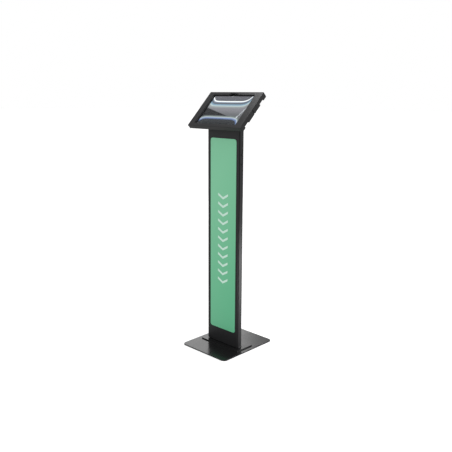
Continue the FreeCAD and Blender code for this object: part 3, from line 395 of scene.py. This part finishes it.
class KIOSK_OT_sign(bpy.types.Operator):
    """The acrylic sign panel and its pattern of cut vinyl chevrons"""
    bl_idname = "kiosk.sign"
    bl_label = "Sign panel"

    def execute(self, context):
        finish = context.scene.kiosk_finishes
        sign = context.scene.kiosk_sign
        low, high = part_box("sign_panel")
        # Cast acrylic, colour in the sheet: smooth, with a glossy skin, and a painted reflection that fades the colour
        # paler towards the top and the left.
        acrylic, tree = new_material("cast_green_acrylic")
        place = add(tree, "ShaderNodeTexCoord").outputs["Object"]
        parts = add(tree, "ShaderNodeSeparateXYZ", {"Vector": place}).outputs
        # Painted reflection: the sheet's colour is painted paler towards its top and its left, standing in for the
        # room's sheen on the gloss.
        rise = add(tree, "ShaderNodeMapRange", {"Value": parts["Z"], "From Min": low.z, "From Max": high.z},
                   interpolation_type="SMOOTHSTEP").outputs["Result"]
        left_reflection = add(tree, "ShaderNodeMapRange", {"Value": parts["X"], "From Min": low.x, "From Max": high.x,
                                                "To Min": 0.22, "To Max": -0.10}).outputs["Result"]
        painted_reflection = add(tree, "ShaderNodeMath", {0: rise, 1: left_reflection}, operation="ADD", use_clamp=True).outputs["Value"]
        deep = list(finish.acrylic)
        pale = [min(1.0, c * k) for c, k in zip(deep, (1.75, 1.17, 1.30))] + [1.0]
        tone = add(tree, "ShaderNodeMix", {"Factor": painted_reflection, "A": deep, "B": pale}, data_type="RGBA").outputs["Result"]
        cast = add(tree, "ShaderNodeTexNoise", {"Vector": place, "Scale": 1000 / CAST_RIPPLE_MM,
                                                "Detail": 1.0}).outputs["Fac"]
        ripple = add(tree, "ShaderNodeBump", {"Height": cast, "Strength": 0.015, "Distance": 0.002}).outputs["Normal"]
        gloss = add(tree, "ShaderNodeMapRange", {"Value": cast, "To Min": 0.26, "To Max": 0.32}).outputs["Result"]
        shader = add(tree, "ShaderNodeBsdfPrincipled", {"Base Color": tone, "Roughness": gloss, "IOR": 1.49,
                                                        "Normal": ripple})
        add(tree, "ShaderNodeOutputMaterial", {"Surface": shader.outputs["BSDF"]})
        dress(acrylic, "sign_panel")
        # Cut vinyl film: flat colour with a low sheen and a little stretch grain.
        vinyl = grained("cut_vinyl_film", finish.vinyl, 0.42, 1.5, 0.05, mottle=0.02, stretch=(1, 1, 0.3), ior=1.45)

        mid_x = (low.x + high.x) / 2
        half = sign.width / 2
        top = high.z - sign.drop
        back = low.y
        front = low.y - sign.thickness
        outline = [(-half, 0), (0, -sign.rise), (half, 0), (half, -sign.stroke),
                   (0, -sign.rise - sign.stroke), (-half, -sign.stroke)]
        vertices = [(mid_x + x, y, top + z) for y in (front, back) for x, z in outline]
        count = len(outline)
        faces = [(0, 1, 4, 5), (1, 2, 3, 4), (11, 10, 7, 6), (10, 9, 8, 7)]
        faces += [(k, k + count, (k + 1) % count + count, (k + 1) % count) for k in range(count)]
        chevrons = new_object("sign_chevrons", vertices, faces, vinyl)
        face_outwards(chevrons)

        tree, given = node_tree("chevron_column", [("Count", "NodeSocketInt"), ("Pitch", "NodeSocketFloat")])
        step = add(tree, "ShaderNodeMath", {0: given["Pitch"], 1: -1.0}, operation="MULTIPLY").outputs["Value"]
        offset = add(tree, "ShaderNodeCombineXYZ", {"Z": step}).outputs["Vector"]
        line = add(tree, "GeometryNodeMeshLine", {"Count": given["Count"], "Offset": offset}).outputs["Mesh"]
        copies = add(tree, "GeometryNodeInstanceOnPoints", {"Points": line, "Instance": given["Geometry"]})
        real = add(tree, "GeometryNodeRealizeInstances", {"Geometry": copies.outputs["Instances"]})
        shown = add(tree, "GeometryNodeSetMaterial", {"Geometry": real.outputs["Geometry"], "Material": vinyl})
        add(tree, "NodeGroupOutput", {"Geometry": shown.outputs["Geometry"]})
        grow(chevrons, tree, {"Count": sign.count, "Pitch": sign.pitch})
        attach(chevrons, "sign")
        return {"FINISHED"}


class KIOSK_OT_foot_weld(bpy.types.Operator):
    """The coated weld bead round the foot of the column"""
    bl_idname = "kiosk.foot_weld"
    bl_label = "Foot weld"

    def execute(self, context):
        weld = context.scene.kiosk_weld
        finish = context.scene.kiosk_finishes
        low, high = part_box("column_channel")
        # Weld under powder coat: rounded ripples with a thicker, glossier skin of paint.
        coat = grained("powder_coat_over_weld", finish.coat, 0.36, 2.0, 0.10, patch_mm=30.0)
        lift = low.z + weld.bead * 0.15
        path = [(low.x, low.y + WELD_SETBACK, lift), (low.x, high.y, lift), (high.x, high.y, lift),
                (high.x, low.y + WELD_SETBACK, lift)]
        mesh = bpy.data.meshes.new("foot_weld")
        mesh.from_pydata(path, [(0, 1), (1, 2), (2, 3)], [])
        mesh.materials.append(coat)
        bead = bpy.data.objects.new("foot_weld", mesh)
        bpy.context.scene.collection.objects.link(bead)

        tree, given = node_tree("weld_ripples", [("Bead", "NodeSocketFloat"), ("Ripple", "NodeSocketFloat"),
                                                 ("Wander", "NodeSocketFloat"), ("Seed", "NodeSocketInt")])
        line = add(tree, "GeometryNodeMeshToCurve", {"Mesh": given["Geometry"]}).outputs["Curve"]
        dots = add(tree, "GeometryNodeCurveToPoints", {"Curve": line, "Length": given["Ripple"]}, mode="LENGTH")
        small = add(tree, "ShaderNodeMath", {0: 1.0, 1: given["Wander"]}, operation="SUBTRACT").outputs["Value"]
        large = add(tree, "ShaderNodeMath", {0: 1.0, 1: given["Wander"]}, operation="ADD").outputs["Value"]
        scale = add(tree, "FunctionNodeRandomValue", {"Min": small, "Max": large, "Seed": given["Seed"]},
                    data_type="FLOAT")
        factor = next(s for s in scale.outputs if s.enabled)
        drop = add(tree, "GeometryNodeMeshIcoSphere", {"Radius": given["Bead"], "Subdivisions": 2}).outputs["Mesh"]
        copies = add(tree, "GeometryNodeInstanceOnPoints", {"Points": dots.outputs["Points"], "Instance": drop,
                                                            "Scale": factor})
        real = add(tree, "GeometryNodeRealizeInstances", {"Geometry": copies.outputs["Instances"]})
        smooth = add(tree, "GeometryNodeSetShadeSmooth", {"Geometry": real.outputs["Geometry"]})
        shown = add(tree, "GeometryNodeSetMaterial", {"Geometry": smooth.outputs["Geometry"], "Material": coat})
        add(tree, "NodeGroupOutput", {"Geometry": shown.outputs["Geometry"]})
        grow(bead, tree, {"Bead": weld.bead, "Ripple": weld.ripple, "Wander": weld.wander, "Seed": weld.seed})
        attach(bead, "stand")
        return {"FINISHED"}


class KIOSK_OT_tablet(bpy.types.Operator):
    """The tablet: anodised shell, cover glass with a black printed border, lit display and inner parts"""
    bl_idname = "kiosk.tablet"
    bl_label = "Tablet"

    def execute(self, context):
        finish = context.scene.kiosk_finishes
        tablet = context.scene.kiosk_tablet
        # Bead-blasted, anodised aluminium: an even satin grey with a very fine grit.
        anodised = grained("anodised_aluminium", finish.tablet, 0.36, 0.5, 0.10, metal=1.0, mottle=0.04)
        # Battery in foil: dull, slightly crumpled.
        foil = grained("battery_foil", linear("26272A"), 0.50, 6.0, 0.25, mottle=0.10, patch_mm=25.0)
        # Solder mask over copper: glossy green with traces that lift it a little.
        mask = grained("green_solder_mask", linear("14532F"), 0.30, 1.6, 0.30, mottle=0.20, patch_mm=6.0,
                       stretch=(1, 0.3, 1))
        # Coated lens: near black with a violet cast.
        lens = grained("coated_lens", linear("0B0A14"), 0.06, 1.0, 0.0, coat=1.0, coat_rough=0.02)
        dress(anodised, "tablet_shell", "power_button", "volume_rocker")
        dress(foil, "tablet_battery")
        dress(mask, "tablet_board")
        dress(lens, "tablet_camera")
        dress(lit_display(tablet.glow), "tablet_display")

        low, high = head_box("tablet_glass")
        # Cover glass with an anti-glare coating: clear, weak but sharp reflections, rounded at its front edge.
        glass, tree = new_material("polished_cover_glass")
        place = add(tree, "ShaderNodeTexCoord").outputs["Object"]
        smears = add(tree, "ShaderNodeTexNoise", {"Vector": place, "Scale": 1000 / SMEAR_MM,
                                                  "Detail": 5.0}).outputs["Fac"]
        gloss = add(tree, "ShaderNodeMapRange", {"Value": smears, "From Min": 0.45, "From Max": 0.75, "To Min": 0.02,
                                                 "To Max": 0.06}).outputs["Result"]
        shader = add(tree, "ShaderNodeBsdfPrincipled", {"Base Color": linear("F4F8F8"), "Roughness": gloss,
                                                        "IOR": 1.10, "Transmission Weight": 1.0})
        add(tree, "ShaderNodeOutputMaterial", {"Surface": shader.outputs["BSDF"]})
        edge = tablet.glass_edge
        corner = tablet.glass_corner
        back = low.z + tablet.glass_gap
        layers = [(rounded_outline(low.x, high.x, low.y, high.y, corner), back)]
        for k in range(EDGE_STEPS + 1):
            a = math.radians(90 * k / EDGE_STEPS)
            inset = edge * (1 - math.cos(a))
            layers.append((rounded_outline(low.x + inset, high.x - inset, low.y + inset, high.y - inset,
                                           corner - inset), high.z - edge + edge * math.sin(a)))
        cover = stacked("cover_glass", layers, glass, HEAD_PLACE)
        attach(cover, "head")
        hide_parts("tablet_glass")

        # Screen-printed ink: flat black with a slight sheen, seen through the glass.
        ink = grained("screen_printed_ink", linear("050506"), 0.35, 1.2, 0.03, mottle=0.05)
        d_low, d_high = head_box("tablet_display")
        inset = tablet.ink_inset
        outer = rounded_outline(low.x + inset, high.x - inset, low.y + inset, high.y - inset, corner - inset)
        inner = rounded_outline(d_low.x, d_high.x, d_low.y, d_high.y, tablet.window_corner)
        z0 = low.z + tablet.ink_gap
        z1 = z0 + tablet.ink
        layers = [(outer, z0), (outer, z1), (inner, z1), (inner, z0), (outer, z0)]
        border = stacked("glass_border_print", layers, ink, HEAD_PLACE, caps=False)
        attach(border, "head")
        return {"FINISHED"}


def lit_display(glow):
    """A lit screen showing plain soft bands of light over grey, with a painted reflection streak at its right end."""
    material, tree = new_material("lit_display_picture")
    low, high = head_box("tablet_display")
    shift = HEAD_INVERSE.translation
    place = add(tree, "ShaderNodeTexCoord").outputs["Object"]
    flat = add(tree, "ShaderNodeMapping", {"Vector": place, "Location": shift, "Rotation": (-HEAD_TILT, 0, 0)})
    parts = add(tree, "ShaderNodeSeparateXYZ", {"Vector": flat.outputs["Vector"]}).outputs
    across = add(tree, "ShaderNodeMapRange", {"Value": parts["X"], "From Min": low.x, "From Max": high.x}).outputs[0]
    up = add(tree, "ShaderNodeMapRange", {"Value": parts["Y"], "From Min": low.y, "From Max": high.y}).outputs[0]

    def maths(operation, a, b, clamp=False):
        return add(tree, "ShaderNodeMath", {0: a, 1: b}, operation=operation, use_clamp=clamp).outputs["Value"]

    def ramp(value, stops, curve="EASE"):
        node = add(tree, "ShaderNodeValToRGB", {"Fac": value})
        node.color_ramp.interpolation = curve
        elements = node.color_ramp.elements
        while len(elements) < len(stops):
            elements.new(1.0)
        for element, (position, code) in zip(elements, stops):
            element.position = position
            element.color = linear(code)
        return node.outputs["Color"]

    # The bands run level and turn away towards the picture's ends.
    bend = ramp(across, [(0.0, "B0B0B0"), (0.08, "404040"), (0.20, "000000"), (0.76, "000000"), (0.90, "707070"),
                         (1.0, "F0F0F0")], "B_SPLINE")
    away = maths("SUBTRACT", up, 0.45)
    level = maths("SUBTRACT", up, maths("MULTIPLY", maths("MULTIPLY", bend, away), 0.75), True)
    bands = ramp(level, [(0.0, "303133"), (0.17, "3A3B3E"), (0.225, "7486B0"), (0.25, "B4BCC4"), (0.275, "7E8884"),
                         (0.31, "66676A"), (0.55, "828085"), (0.61, "939597"), (0.645, "B2C1C2"), (0.69, "7C96AC"),
                         (0.735, "5C5E63"), (0.78, "8792A4"), (0.797, "FFFFFF"), (0.811, "FFFFFF"),
                         (0.835, "5F6066"), (1.0, "66646A")])
    # A plain shaded wedge between the middle and the lowest band.
    slope = maths("ADD", up, maths("MULTIPLY", across, 0.427))
    below = add(tree, "ShaderNodeMapRange", {"Value": slope, "From Min": 0.585, "From Max": 0.567}).outputs[0]
    above = add(tree, "ShaderNodeMapRange", {"Value": level, "From Min": 0.285, "From Max": 0.33}).outputs[0]
    wedge = maths("MULTIPLY", maths("MULTIPLY", below, above), 0.9, True)
    shaded = add(tree, "ShaderNodeMix", {"Factor": wedge, "A": bands, "B": linear("202021")}, data_type="RGBA")
    # A painted reflection: a thin broken streak of white slants across the picture's right end, standing in for glare
    # on the glass.
    stir = add(tree, "ShaderNodeTexNoise", {"Vector": flat.outputs["Vector"], "Scale": 1000 / GLARE_BREAK_MM,
                                            "Detail": 3.0}).outputs["Fac"]
    shake = maths("MULTIPLY", maths("SUBTRACT", stir, 0.5), 0.11)
    slant = maths("ADD", maths("MULTIPLY", up, 0.29), 0.795)
    gap = maths("ABSOLUTE", maths("ADD", maths("SUBTRACT", across, slant), shake), 0.0)
    thin = add(tree, "ShaderNodeMapRange", {"Value": gap, "From Min": 0.015, "From Max": 0.004}).outputs[0]
    low_end = add(tree, "ShaderNodeMapRange", {"Value": up, "From Min": 0.16, "From Max": 0.26}).outputs[0]
    high_end = add(tree, "ShaderNodeMapRange", {"Value": up, "From Min": 0.72, "From Max": 0.62}).outputs[0]
    painted_glare = maths("MULTIPLY", maths("MULTIPLY", thin, low_end), high_end, True)
    # The painted reflection streak is mixed into the picture here.
    picture = add(tree, "ShaderNodeMix", {"Factor": painted_glare, "A": shaded.outputs["Result"], "B": linear("CDD0D5")},
                  data_type="RGBA")
    shader = add(tree, "ShaderNodeBsdfPrincipled", {
        "Base Color": linear("060607"), "Roughness": 0.7, "IOR": 1.1, "Emission Color": picture.outputs["Result"],
        "Emission Strength": glow,
    })
    add(tree, "ShaderNodeOutputMaterial", {"Surface": shader.outputs["BSDF"]})
    return material


class KIOSK_OT_stage(bpy.types.Operator):
    """Pale floor, even white surround, soft lights and the camera"""
    bl_idname = "kiosk.stage"
    bl_label = "Stage"

    def execute(self, context):
        stage = context.scene.kiosk_stage
        scene = context.scene
        scene.view_settings.view_transform = "Standard"
        world = bpy.data.worlds.new("studio")
        world.use_nodes = True
        world.node_tree.nodes.clear()
        way = add(world.node_tree, "ShaderNodeTexCoord").outputs["Generated"]
        climb = add(world.node_tree, "ShaderNodeSeparateXYZ", {"Vector": way}).outputs["Z"]
        strength = add(world.node_tree, "ShaderNodeMapRange", {
            "Value": climb, "From Min": DIMMING[0], "From Max": DIMMING[1], "To Min": stage.surround,
            "To Max": stage.ceiling,
        }, interpolation_type="SMOOTHSTEP").outputs["Result"]
        under = add(world.node_tree, "ShaderNodeMapRange", {
            "Value": climb, "From Min": UNDERSIDE[0], "From Max": UNDERSIDE[1], "To Min": stage.bounce, "To Max": 1.0,
        }).outputs["Result"]
        strength = add(world.node_tree, "ShaderNodeMath", {0: strength, 1: under},
                       operation="MULTIPLY").outputs["Value"]
        surround = add(world.node_tree, "ShaderNodeBackground", {"Color": (1, 1, 1, 1), "Strength": strength})
        add(world.node_tree, "ShaderNodeOutputWorld", {"Surface": surround.outputs["Background"]})
        scene.world = world

        floor_paint, tree = new_material("white_studio_floor")
        shader = add(tree, "ShaderNodeBsdfPrincipled", {"Base Color": (0.95, 0.95, 0.95, 1), "Roughness": 0.9,
                                                        "Emission Color": (1, 1, 1, 1),
                                                        "Emission Strength": stage.floor_glow})
        add(tree, "ShaderNodeOutputMaterial", {"Surface": shader.outputs["BSDF"]})
        corners = [(x * FLOOR_REACH, y * FLOOR_REACH, 0) for x, y in ((-1, -1), (1, -1), (1, 1), (-1, 1))]
        floor = new_object("floor", corners, [(0, 1, 2, 3)], floor_paint)
        # The floor is lit to pure white and gives the kiosk no light, so the world sets the light from below.
        floor.visible_diffuse = False
        floor.visible_glossy = False

        for name, power, width, spot, target in LIGHTS:
            data = bpy.data.lights.new(name, "AREA")
            data.energy = getattr(stage, power)
            data.size = width
            light = bpy.data.objects.new(name, data)
            light.location = spot
            light.visible_camera = False
            light.rotation_euler = (Vector(target) - Vector(spot)).to_track_quat("-Z", "Y").to_euler()
            scene.collection.objects.link(light)

        a = stage.azimuth
        e = stage.pitch
        forward = Vector((-math.sin(a) * math.cos(e), math.cos(a) * math.cos(e), -math.sin(e)))
        right = Vector((math.cos(a), math.sin(a), 0))
        up = right.cross(forward)
        turned_right = right * math.cos(stage.roll) + up * math.sin(stage.roll)
        turned_up = up * math.cos(stage.roll) - right * math.sin(stage.roll)
        data = bpy.data.cameras.new("camera")
        data.sensor_width = 36.0
        data.lens = stage.lens
        camera = bpy.data.objects.new("camera", data)
        facing = Matrix((turned_right, turned_up, -forward)).transposed().to_4x4()
        camera.matrix_world = Matrix.Translation(Vector(stage.camera)) @ facing
        scene.collection.objects.link(camera)
        scene.camera = camera
        return {"FINISHED"}


class KIOSK_PT_panel(bpy.types.Panel):
    """Lists the kiosk's pieces and their sizes and colours"""
    bl_idname = "KIOSK_PT_panel"
    bl_label = "Kiosk"
    bl_space_type = "VIEW_3D"
    bl_region_type = "UI"
    bl_category = "Kiosk"

    def draw(self, context):
        layout = self.layout
        for step in STEPS:
            layout.operator(step.bl_idname)
        for name, group in GROUPS:
            box = layout.box()
            box.label(text=group.__doc__)
            for key in group.__annotations__:
                box.prop(getattr(context.scene, name), key)


STEPS = (KIOSK_OT_coated_steel, KIOSK_OT_fixings, KIOSK_OT_soft_parts, KIOSK_OT_sign, KIOSK_OT_foot_weld,
         KIOSK_OT_tablet, KIOSK_OT_stage)
GROUPS = (("kiosk_finishes", KioskFinishes), ("kiosk_sign", KioskSign), ("kiosk_tablet", KioskTablet),
          ("kiosk_weld", KioskWeld), ("kiosk_stage", KioskStage))


def register():
    """Registers the classes and their scene properties."""
    for name, group in GROUPS:
        bpy.utils.register_class(group)
        setattr(bpy.types.Scene, name, bpy.props.PointerProperty(type=group))
    for item in STEPS + (KIOSK_PT_panel,):
        bpy.utils.register_class(item)


def unregister():
    """Removes the classes and their scene properties."""
    for item in reversed(STEPS + (KIOSK_PT_panel,)):
        bpy.utils.unregister_class(item)
    for name, group in reversed(GROUPS):
        delattr(bpy.types.Scene, name)
        bpy.utils.unregister_class(group)


def main():
    """Makes everything: registers the classes and runs every step."""
    register()
    for step in STEPS:
        family, action = step.bl_idname.split(".")
        getattr(getattr(bpy.ops, family), action)()


if __name__ == "__main__":
    main()
